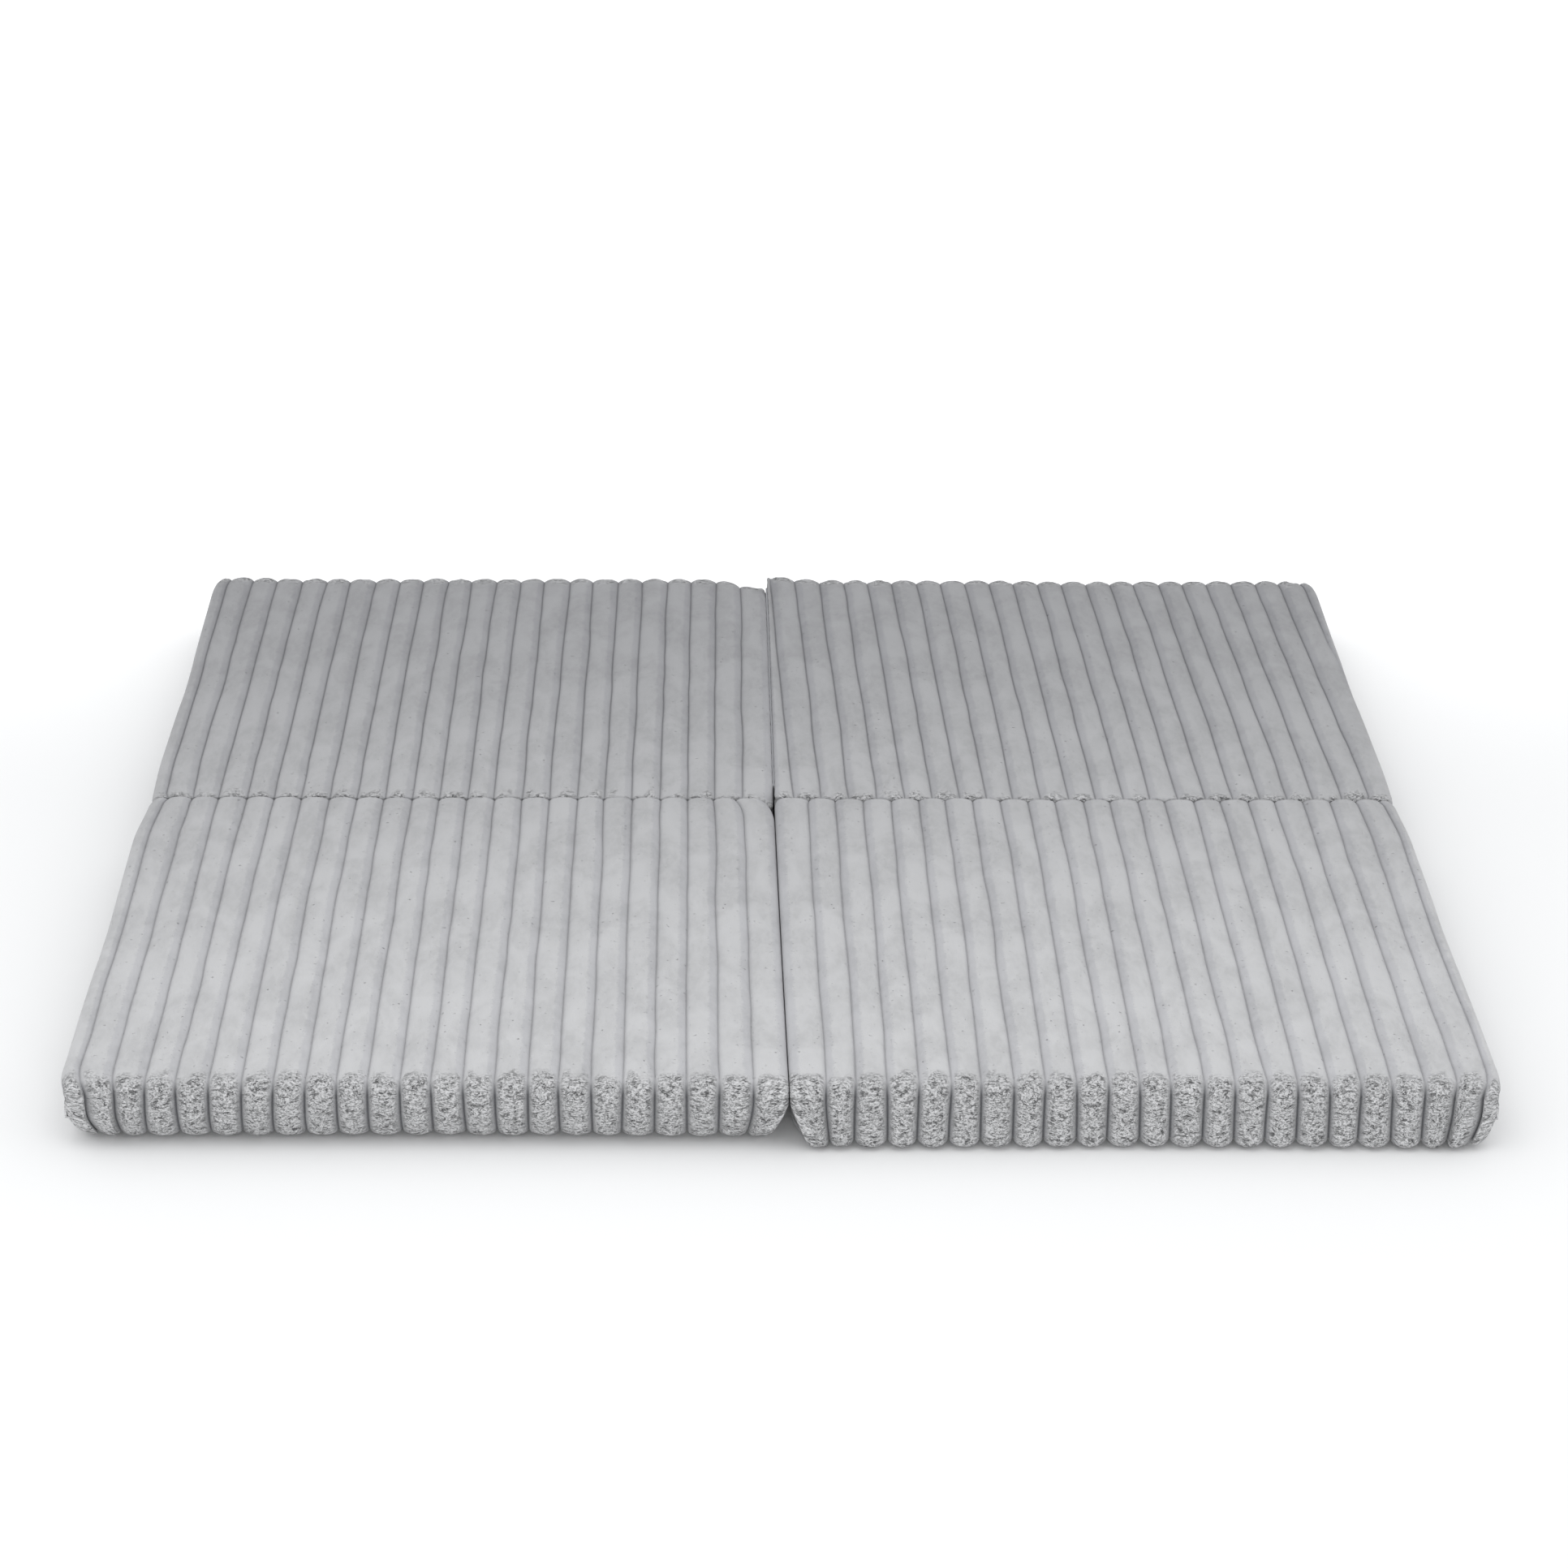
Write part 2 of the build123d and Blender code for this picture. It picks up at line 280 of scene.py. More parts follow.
# ---------------------------------------------------------------- mesh helpers
def make_object(name, verts, faces, material, uvs=None, attributes=None):
    """A mesh object at the origin. uvs is one pair per face corner, attributes one value per vertex."""
    mesh = bpy.data.meshes.new(name)
    mesh.from_pydata([tuple(v) for v in verts], [], [tuple(f) for f in faces])
    if uvs is not None:
        layer = mesh.uv_layers.new(name="cloth")
        layer.data.foreach_set("uv", np.asarray(uvs, np.float32).ravel())
    for key, values in (attributes or {}).items():
        attribute = mesh.attributes.new(key, "FLOAT", "POINT")
        attribute.data.foreach_set("value", np.asarray(values, np.float32))
    mesh.materials.append(material)
    mesh.polygons.foreach_set("use_smooth", [True] * len(mesh.polygons))
    mesh.update()
    obj = bpy.data.objects.new(name, mesh)
    bpy.context.scene.collection.objects.link(obj)
    return obj


def grid_faces(us, vs, skip=None, flipped=False):
    """Quads of a grid with their UVs, us across its columns and vs along its rows."""
    faces, uvs = [], []
    for i in range(len(vs) - 1):
        for j in range(len(us) - 1):
            quad = [(i, j), (i + 1, j), (i + 1, j + 1), (i, j + 1)]
            if skip is not None and all(skip[a, b] for a, b in quad):
                continue
            if flipped:
                quad.reverse()
            faces.append([a * len(us) + b for a, b in quad])
            uvs.extend((us[b], vs[a]) for a, b in quad)
    return faces, uvs


def face_outwards(obj):
    work = bmesh.new()
    work.from_mesh(obj.data)
    bmesh.ops.recalc_face_normals(work, faces=work.faces)
    work.to_mesh(obj.data)
    work.free()


# ---------------------------------------------------------------- the panels' soft shape
WALE_PITCH = 26.45 * MM
SIDE_RADIUS = 11.0 * MM  # of the roll from the top to a side
HINGE_RADIUS = 4.0 * MM  # of the same roll along the sewn centre seam
SLIT_RADIUS = 5.0 * MM  # and along the open slit
SIDE_LEDGE = 0.5  # millimetres from the end of the roll to the seam of a gusset
TUCK_DEPTH = 5.0 * MM  # of a cover's edge turned in at that seam
CAP_DEPTH = 9.5 * MM  # of the cloth behind a gusset
RELIEF_TOP = 4.2 * MM
RELIEF_END = 9.0 * MM
RELIEF_FOLD = 3.0 * MM  # at the ends that press against each other along a fold line
RELIEF_BOTTOM = 8.0 * MM
UNDERCUT_X = 12.0 * MM  # how far a side comes in at the floor
PRESS = 1.72 * MM  # how far faces in the gaps bulge towards each other
STRIP_HEIGHT = 28.0 * MM  # of the room for the hinge strip above the floor, at a fold line
STRIP_ROOM = 1.6 * MM
SLIT_DRIFT = 4.2 * MM  # of the open slit towards the right, at its front end
NOTCH = (14.0 * MM, 46.0 * MM, 62.0 * MM)  # across, up and along, at the slit's front end
UNDERCUT_REACH = 70.0 * MM

# For each panel: first is the distance from its inner edge to the first groove at the fold line,
# skew the shift of the grooves from the fold line to the far end, inner_free and inner_fold the
# plan radii (across, along) of the corners at its inner edge, swell how far its outer side stands
# out, under how far the free end comes in at the floor, corner_rise how much the inner far corner
# stands up (less than 0 where it hangs), dip how far its top hangs at the inner corner by the
# fold, all in mm, and seed its irregularity.
SHAPES = {
    "front_left": dict(first=28.6, skew=-1.7, inner_free=(3, 8), inner_fold=(17, 48),
                       swell=5.5, under=20.0, corner_rise=0.0, dip=0.0, seed=11),
    "back_left": dict(first=28.6, skew=-1.5, inner_free=(8, 18), inner_fold=(3, 6),
                      swell=2.0, under=8.0, corner_rise=-10.0, dip=11.0, seed=23),
    "front_right": dict(first=31.0, skew=0.0, inner_free=(4, 10), inner_fold=(5, 14),
                        swell=4.0, under=-2.0, corner_rise=0.0, dip=0.0, seed=37),
    "back_right": dict(first=17.5, skew=-15.0, inner_free=(4, 10), inner_fold=(4, 6),
                       swell=2.0, under=8.0, corner_rise=4.5, dip=0.0, seed=41),
}
OUTER_FREE = (16, 20)  # plan radii (across, along) in mm of the outer corner at the free end
OUTER_FOLD = (9, 14)  # and at the fold line
FREE_BOTTOM, FRONT_TOP, BACK_TOP = 11.0 * MM, 17.0 * MM, 10.0 * MM  # edge radii of the free ends
FOLD_BOTTOM, FOLD_TOP = 5.0 * MM, 4.0 * MM  # and of the ends at a fold line

# Places of the points across a wale, and across a first wale, as shares of its width.
WALE_STEPS = np.array([0.0, 0.03, 0.085, 0.16, 0.26, 0.38, 0.5, 0.62, 0.74, 0.84, 0.915, 0.97])
EDGE_STEPS = np.array([0, 0.02, 0.05, 0.09, 0.14, 0.2, 0.27, 0.35, 0.45, 0.56, 0.68, 0.8, 0.9, 0.96])


def contour(y0, y1, z0, z1, radii, inset, counts):
    """Points and outward normals round a panel's section, from the back along the bottom to the
    front, up, back along the top and down. radii and counts go front_bottom, front_top, back_top,
    back_bottom and bottom, front, top, back."""
    r = [max(x - inset, 0.4 * MM) for x in radii]
    a0, a1, b0, b1 = y0 + inset, y1 - inset, z0 + inset, z1 - inset
    fb, ft, bt, bb = r
    n_bottom, n_front, n_top, n_back = counts
    points, normals, tags = [], [], []

    def line(p, q, n, normal, tag):
        for k in range(n):
            t = k / n
            points.append((p[0] + (q[0] - p[0]) * t, p[1] + (q[1] - p[1]) * t))
            normals.append(normal)
            tags.append(tag)

    def arc(centre, radius, start, n, tag_from, tag_to):
        for k in range(n):
            angle = start - (math.pi / 2) * k / n
            c, s = math.cos(angle), math.sin(angle)
            points.append((centre[0] + radius * c, centre[1] + radius * s))
            normals.append((c, s))
            tags.append(tag_from + (tag_to - tag_from) * k / n)

    n_arc = 8
    line((a1 - bb, b0), (a0 + fb, b0), n_bottom, (0, -1), 0.0)
    arc((a0 + fb, b0 + fb), fb, -math.pi / 2, n_arc, 0.0, 1.0)
    line((a0, b0 + fb), (a0, b1 - ft), n_front, (-1, 0), 1.0)
    arc((a0 + ft, b1 - ft), ft, math.pi, n_arc, 1.0, 2.0)
    line((a0 + ft, b1), (a1 - bt, b1), n_top, (0, 1), 2.0)
    arc((a1 - bt, b1 - bt), bt, math.pi / 2, n_arc, 2.0, 3.0)
    line((a1, b1 - bt), (a1, b0 + bb), n_back, (1, 0), 3.0)
    arc((a1 - bb, b0 + bb), bb, 0.0, n_arc, 3.0, 4.0)
    return np.array(points), np.array(normals), np.array(tags)


FRONT_Y, BACK_Y = cad_bounds[0].y, cad_bounds[1].y


def block_grid(axes):
    """Grid places (i, j, k) on the surface of a block divided along three axes, and its faces."""
    places, faces, index = [], [], {}

    def vertex(place):
        if place not in index:
            index[place] = len(places)
            places.append(place)
        return index[place]

    last = [len(a) - 1 for a in axes]
    for axis in range(3):
        u, v = (axis + 1) % 3, (axis + 2) % 3
        for end in (0, last[axis]):
            for i in range(last[u]):
                for j in range(last[v]):
                    corners = []
                    for a, b in ((i, j), (i + 1, j), (i + 1, j + 1), (i, j + 1)):
                        at = [0, 0, 0]
                        at[axis], at[u], at[v] = end, a, b
                        corners.append(vertex(tuple(at)))
                    faces.append(corners if end else corners[::-1])
    return places, faces


FORM_CELLS, FORM_LAYERS, FORM_FRAMES = 26, 3, 20
FORM_CROWN = 4.0 * MM  # how much higher a filled panel is in its middle than at its edges
FORM_PULL = 3.0 * MM  # the most that a side moves


def filled_form(size):
    """How a closed cloth slab of that size moves when it is filled: Blender's cloth blows it up a
    little, with no gravity. Gives offsets for a grid over its top, scaled to a foam panel's."""
    cells = FORM_CELLS
    form = np.zeros((cells + 1, cells + 1, 3))
    axes = [np.linspace(0, size[0], cells + 1), np.linspace(0, size[1], cells + 1),
            np.linspace(0, size[2], FORM_LAYERS + 1)]
    places, faces = block_grid(axes)
    verts = np.array([[axes[a][place[a]] for a in range(3)] for place in places])
    mesh = bpy.data.meshes.new("filling")
    mesh.from_pydata(verts.tolist(), [], faces)
    slab = bpy.data.objects.new("filling", mesh)
    bpy.context.scene.collection.objects.link(slab)
    cloth = slab.modifiers.new("cloth", "CLOTH")
    settings = cloth.settings
    settings.quality = 6
    settings.mass = 0.35
    settings.tension_stiffness = settings.compression_stiffness = 18.0
    settings.shear_stiffness = 6.0
    settings.bending_stiffness = 1.5
    settings.air_damping = 2.0
    settings.use_pressure = True
    settings.uniform_pressure_force = 4.0
    settings.effector_weights.gravity = 0.0
    cloth.collision_settings.use_self_collision = False
    cloth.point_cache.frame_start, cloth.point_cache.frame_end = 1, FORM_FRAMES
    scene = bpy.context.scene
    for step in range(1, FORM_FRAMES + 1):
        scene.frame_set(step)
    view = bpy.context.evaluated_depsgraph_get()
    filled = slab.evaluated_get(view).to_mesh()
    moved = np.array([v.co for v in filled.vertices]) - verts
    for place, offset in zip(places, moved):
        if place[2] == FORM_LAYERS:
            form[place[0], place[1]] = offset
    bpy.data.objects.remove(slab)
    scene.frame_set(1)
    rise = form[..., 2].max() - form[0, :, 2].mean()
    form *= FORM_CROWN / max(rise, 1e-6)
    form[..., 2] -= form[..., 2].max()
    form[..., :2] = np.clip(form[..., :2], -FORM_PULL, FORM_PULL)
    return form


def sampled(form, u, v):
    """The form's offsets at shares u and v of its two sides."""
    cells = form.shape[0] - 1
    a, b = np.clip(u, 0, 0.99999) * cells, np.clip(v, 0, 0.99999) * cells
    i, j = a.astype(int), b.astype(int)
    fa, fb = (a - i)[..., None], (b - j)[..., None]
    low = form[i, j] * (1 - fa) + form[i + 1, j] * fa
    high = form[i, j + 1] * (1 - fa) + form[i + 1, j + 1] * fa
    return low * (1 - fb) + high * fb


def pile_lie(points):
    """Painted shade for the light that falls off towards the back: none at the front, most at the back.
    """
    return smoothstep((points[:, 1] - FRONT_Y) / (BACK_Y - FRONT_Y))


class Panel:
    """Where one panel lies, and how its soft form departs from the CAD block."""

    def __init__(self, name):
        self.name = name
        lo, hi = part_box(f"{name}_cover")
        self.lo, self.hi = Vector(lo), Vector(hi)
        self.width = hi[0] - lo[0]
        self.height = hi[2] - lo[2]
        self.side = 1 if name.endswith("right") else -1
        self.end = 1 if name.startswith("back") else -1
        self.x_inner = self.lo.x if self.side > 0 else self.hi.x
        self.y_fold = self.lo.y if self.end > 0 else self.hi.y
        self.y_free = self.hi.y if self.end > 0 else self.lo.y
        self.crown = 2.5 if self.end > 0 else 3.2
        for key, value in SHAPES[name].items():
            setattr(self, key, value)

    def roll(self, tags, inner):
        """The radius of the roll from a broad face to a side, tighter where the panel is hinged."""
        if inner and self.end > 0:
            radii = (SIDE_RADIUS, 7.5 * MM, HINGE_RADIUS)
        elif inner:
            radii = (SLIT_RADIUS, SLIT_RADIUS, SLIT_RADIUS + 2 * MM)
        else:
            radii = (SIDE_RADIUS,) * 3
        return np.interp(tags, [0, 1, 2, 3, 4], radii + radii[1::-1])

    def along(self, y):
        """0 at the fold line and 1 at the free end."""
        return (y - self.y_fold) / (self.y_free - self.y_fold)

    def corner(self, y, free, fold):
        """How far a side has come in at y, because of the plan radii of its two corners."""
        inward = np.zeros_like(y)
        ends = ((free, np.abs(y - self.y_free)), (fold, np.abs(y - self.y_fold)))
        for (across, length), distance in ends:
            t = np.clip(1 - distance / (length * MM), 0, 1)
            inward = np.maximum(inward, across * MM * (1 - np.sqrt(1 - t * t)))
        return inward

    def swell_at(self, y):
        """How far the outer side stands out at y."""
        rise = smoothstep(np.abs(y - self.y_fold) / (90 * MM))
        return self.swell * MM * rise * smoothstep(np.abs(y - self.y_free) / (40 * MM))

    def soften(self, d, y, z):
        """World points for distances d from the inner edge, with the corners, the undercut sides
        and the unevenness of a filled cover."""
        t_under = np.clip(1 - (z - self.lo.z) / (0.62 * self.height), 0, 1) ** 2
        t_top = smoothstep((z - self.lo.z) / self.height)
        from_outer = self.width - d
        to_free, to_fold = np.abs(y - self.y_free), np.abs(y - self.y_fold)
        near_inner = smoothstep(1 - d / UNDERCUT_REACH)
        near_outer = smoothstep(1 - from_outer / UNDERCUT_REACH)
        near_free = smoothstep(1 - to_free / UNDERCUT_REACH)
        near_fold = smoothstep(1 - to_fold / UNDERCUT_REACH)
        along = self.along(y)

        shift = self.corner(y, self.inner_free, self.inner_fold) * near_inner
        shift = shift - self.corner(y, OUTER_FREE, OUTER_FOLD) * near_outer
        wave = 0.9 * MM * lattice(y, z, 110 * MM, 60 * MM, self.seed + 5)
        shift = shift - (UNDERCUT_X * t_under + wave) * near_outer
        shift = shift + self.swell_at(y) * near_outer
        if self.end < 0:
            across, up, reach = NOTCH
            notch = across * np.clip(1 - (z - self.lo.z) / up, 0, 1) * smoothstep(1 - to_free / reach)
            notch = notch * smoothstep(1 - d / (44 * MM))
            shift = shift + (0.25 * UNDERCUT_X * t_under - PRESS) * near_inner + notch
            shift = shift + self.side * SLIT_DRIFT * np.clip(along, 0, 1) ** 1.3 * near_inner
        else:
            gather = 0.3 * MM * np.sin(2 * math.pi * y / (5.2 * MM)) * smoothstep(1 - d / (8 * MM))
            shift = shift + (0.15 * UNDERCUT_X * t_under - 1.2 * MM + gather) * near_inner

        uneven = 0.8 * MM * lattice(d, z, 90 * MM, 50 * MM, self.seed + 6)
        inward = (self.under * MM * t_under + uneven) * near_free
        # Faces press together at the top of a fold line, and below they leave room for the strip.
        pressed = smoothstep((z - self.lo.z - STRIP_HEIGHT) / (8 * MM))
        outward = (PRESS * pressed - STRIP_ROOM * (1 - pressed) - 0.3 * uneven) * near_fold
        filled = sampled(FILLED, d / self.width, np.clip(along, 0, 1))
        shift = shift + filled[..., 0] * near_outer
        inward = inward - filled[..., 1] * near_free
        sag = 1.3 * MM * lattice(d, y, 85 * MM, 120 * MM, self.seed + 7) - filled[..., 2]
        near_corner = smoothstep(1 - d / (60 * MM)) * smoothstep(1 - to_free / (70 * MM))
        sag = sag - self.corner_rise * MM * near_corner
        sag = sag + self.dip * MM * smoothstep(1 - d / (28 * MM)) * smoothstep(1 - to_fold / (34 * MM))
        x = self.x_inner + self.side * (d + shift)
        lift = -0.45 * filled[..., 2] * (1 - t_top)
        return np.stack([x, y - self.end * (inward + outward), z - sag * t_top + lift], axis=-1)


def lobe_depth(v, endness, top, end, crown):
    """How far the surface lies under a wale's crown. v is 0 at the crown and 1 in the groove, and
    crown is how flat the wale is on a broad face."""
    flat = 1 - np.clip(1 - v**crown, 0, 1) ** 0.75
    arc = 0.78 * v**2.1 + 0.22 * smoothstep((v - 0.84) / 0.16)
    return top * flat * (1 - endness) + end * arc * endness


def wale_columns(panel, base):
    """The columns of points over a panel, one value for each point of its section: the distance
    from the inner edge, 0 at a wale's crown to 1 in a groove, and the share of the wale's width.
    The grooves wander a little, and the panel's edges cut the first and the last wale."""
    W, n = panel.width, len(base)
    first, skew = panel.first * MM, panel.skew * MM
    along = panel.along(base[:, 0])
    count = int((W + abs(skew) - first) / WALE_PITCH) + 1
    lines = [np.zeros(n)]
    for k in range(count):
        q = first + k * WALE_PITCH + skew * along
        q = q + 1.1 * MM * signed(base[:, 0] + 3.1 * k, base[:, 1], 130 * MM, 90 * MM, panel.seed)
        q = q + 0.5 * MM * signed(base[:, 0], base[:, 1] + 7.7 * k, 45 * MM, 60 * MM, panel.seed + 1)
        lines.append(np.clip(q, 2.5 * MM, W - 2.5 * MM))
    lines.append(np.full(n, W))

    distance, fold_v, share = [], [], []
    for k in range(len(lines) - 1):
        a, b = lines[k], lines[k + 1]
        if k == 0:
            steps = EDGE_STEPS
            v = [1 - np.clip(2 * (b - a) * (1 - w) / WALE_PITCH, 0, 1) for w in steps]
        elif k == len(lines) - 2:
            steps = np.concatenate([[0.0], 1 - EDGE_STEPS[::-1][:-1], [1.0]])
            v = [1 - np.clip(2 * (b - a) * w / WALE_PITCH, 0, 1) for w in steps]
        else:
            steps = WALE_STEPS
            v = [np.full(n, abs(2 * w - 1)) for w in steps]
        for w, value in zip(steps, v):
            distance.append(a + (b - a) * w)
            fold_v.append(value)
            share.append(w)
    return np.array(distance), np.array(fold_v), share


def cover_mesh(panel):
    """The corduroy cover of one panel: wales over the top, ends and bottom, rolled in at the sides."""
    W = panel.width
    y0, y1, z0, z1 = panel.lo.y, panel.hi.y, panel.lo.z, panel.hi.z
    free, fold = (FREE_BOTTOM, FRONT_TOP if panel.end < 0 else BACK_TOP), (FOLD_BOTTOM, FOLD_TOP)
    front, back = (free, fold) if panel.end < 0 else (fold, free)
    radii = (front[0], front[1], back[1], back[0])
    counts = (34, 24, 80, 10) if panel.end < 0 else (34, 10, 80, 24)

    base, _, tags = contour(y0, y1, z0, z1, radii, 0.0, counts)
    n = len(base)
    closed = np.vstack([base, base[:1]])
    length = np.concatenate([[0], np.cumsum(np.linalg.norm(np.diff(closed, axis=0), axis=1))])
    inner_roll = panel.roll(tags, inner=True)
    outer_roll = panel.roll(tags, inner=False)
    distance, fold_v, share = wale_columns(panel, base)

    endness = np.interp(tags, [0, 0.35, 0.9, 1, 1.15, 1.8, 2, 2.2, 2.85, 3, 3.1, 3.65, 4],
                        [0, 0.7, 1, 1, 1, 0.35, 0.0, 0.35, 1, 1, 1, 0.7, 0])
    bottomness = np.where((tags < 0.5) | (tags > 3.5), 1.0, 0.0)
    verts, groove, nap, across, turned, uv_u = [], [], [], [], [], []

    # The section at several insets, from which each point takes its own.
    inset_steps = np.linspace(0, 18 * MM, 19)
    sections = [contour(y0, y1, z0, z1, radii, inset, counts) for inset in inset_steps]
    section_points = np.array([points for points, _, _ in sections])
    normals = sections[0][1]
    ring = np.arange(n)

    def section(inset):
        place = np.clip(inset / inset_steps[1], 0, len(inset_steps) - 1.001)
        low = np.floor(place).astype(int)
        part = (place - low)[:, None]
        return section_points[low, ring] * (1 - part) + section_points[low + 1, ring] * part

    def add_column(d, inset, roll, v, u, w=0.5):
        """One ring of points. roll is 0 on the broad faces and 1 where the cloth faces sideways."""
        points = section(inset)
        top = RELIEF_TOP * (1 - bottomness) + RELIEF_BOTTOM * bottomness
        near = np.minimum(d / inner_roll, (W - d) / outer_roll)
        keep = smoothstep((near - 0.1) / 0.9) * (1 - roll)
        to_end = panel.along(points[:, 0])
        end = RELIEF_FOLD + (RELIEF_END - RELIEF_FOLD) * smoothstep(to_end * 8)
        depth = lobe_depth(v, endness, top, end, panel.crown) * keep
        ragged = 0.016 * signed(d, points[:, 0], 9 * MM, 14 * MM, panel.seed + 8)
        free_end = smoothstep((to_end + ragged * 0.8 - 0.958) / 0.022)
        fold_end = smoothstep((0.016 + ragged - to_end) / 0.016) if panel.end > 0 else 0.0
        open_pile = np.maximum(free_end, fold_end) * smoothstep((0.95 - v) / 0.4)
        lumps = lattice(d, length[:-1], 7.5 * MM, 5.0 * MM, panel.seed + 9)
        depth = depth + open_pile * 1.5 * MM * smoothstep((lumps - 0.45) / 0.5)
        y = points[:, 0] - normals[:, 0] * depth
        z = points[:, 1] - normals[:, 1] * depth
        verts.append(panel.soften(d, y, z))
        groove.append(np.clip(v, 0, 1) * (1 - roll))
        nap.append(open_pile)
        across.append(flat + w)
        turned.append(endness * (1 - roll) * smoothstep(to_end * 12))
        uv_u.append(u)

    # Cloth turned in at the inner seam, the panel's columns, and the same at the outer seam.
    tucks = ((CAP_DEPTH, 1.8), (TUCK_DEPTH, 1.4), (2.0 * MM, 0.9), (0.4 * MM, 0.3))
    flat = np.zeros(n)
    for depth, more in tucks:
        inset = inner_roll + (SIDE_LEDGE + more) * MM
        add_column(flat + depth, inset, 1.0, flat, -SIDE_RADIUS - depth)
    for d, v, w in zip(distance, fold_v, share):
        inner_side = d.mean() < W / 2
        radius = inner_roll if inner_side else outer_roll
        q = d if inner_side else W - d
        phi = np.clip(1 - q / radius, 0, 1) * math.pi / 2
        moved = np.where(phi > 0, radius * (1 - np.sin(phi)), q)
        place = moved if inner_side else W - moved
        add_column(place, radius * (1 - np.cos(phi)), np.sin(phi) ** 2, v, d, w)
    for depth, more in tucks[::-1]:
        inset = outer_roll + (SIDE_LEDGE + more) * MM
        add_column(W - depth + flat, inset, 1.0, flat, W + SIDE_RADIUS + depth)

    columns = len(verts)
    verts = np.concatenate(verts)
    u = np.array([np.broadcast_to(x, n) for x in uv_u])
    faces, uvs = [], []
    for i in range(columns - 1):
        for j in range(n):
            k = (j + 1) % n
            quad = [(i, j, j), (i + 1, j, j), (i + 1, k, j + 1), (i, k, j + 1)]
            if panel.side < 0:
                quad.reverse()
            faces.append([a * n + b for a, b, _ in quad])
            uvs.extend((u[a, b], length[c]) for a, b, c in quad)
    # A fan of triangles closes each of the two side openings.
    verts = np.vstack([verts, verts[:n].mean(axis=0), verts[-n:].mean(axis=0)])
    for centre, ring, sign in ((columns * n, 0, 1), (columns * n + 1, columns - 1, -1)):
        for j in range(n):
            triangle = [centre, ring * n + j, ring * n + (j + 1) % n]
            if sign * panel.side < 0:
                triangle.reverse()
            faces.append(triangle)
            uvs.extend([(0.0, 0.0)] * 3)
    groove, nap, turned = (np.append(np.concatenate(x), [0.0, 0.0]) for x in (groove, nap, turned))
    across = np.append(np.concatenate(across), [0.5, 0.5])
    attributes = {"groove": groove, "nap": nap, "across": across, "turned": turned}
    attributes["lie"] = pile_lie(verts)
    return make_object(f"{panel.name}_cover_cloth", verts, faces, corduroy, uvs, attributes)


WINDOW_HALF = 7.2 * MM  # half the height of the opening for the zip
TAPE_OVERLAP = 8.0 * MM  # of a zip tape past each end of the opening
SEAM_DEPTH = 3.9 * MM  # how far a band's edges lie in from its crowns
GUSSET_THICKNESS = 1.6 * MM


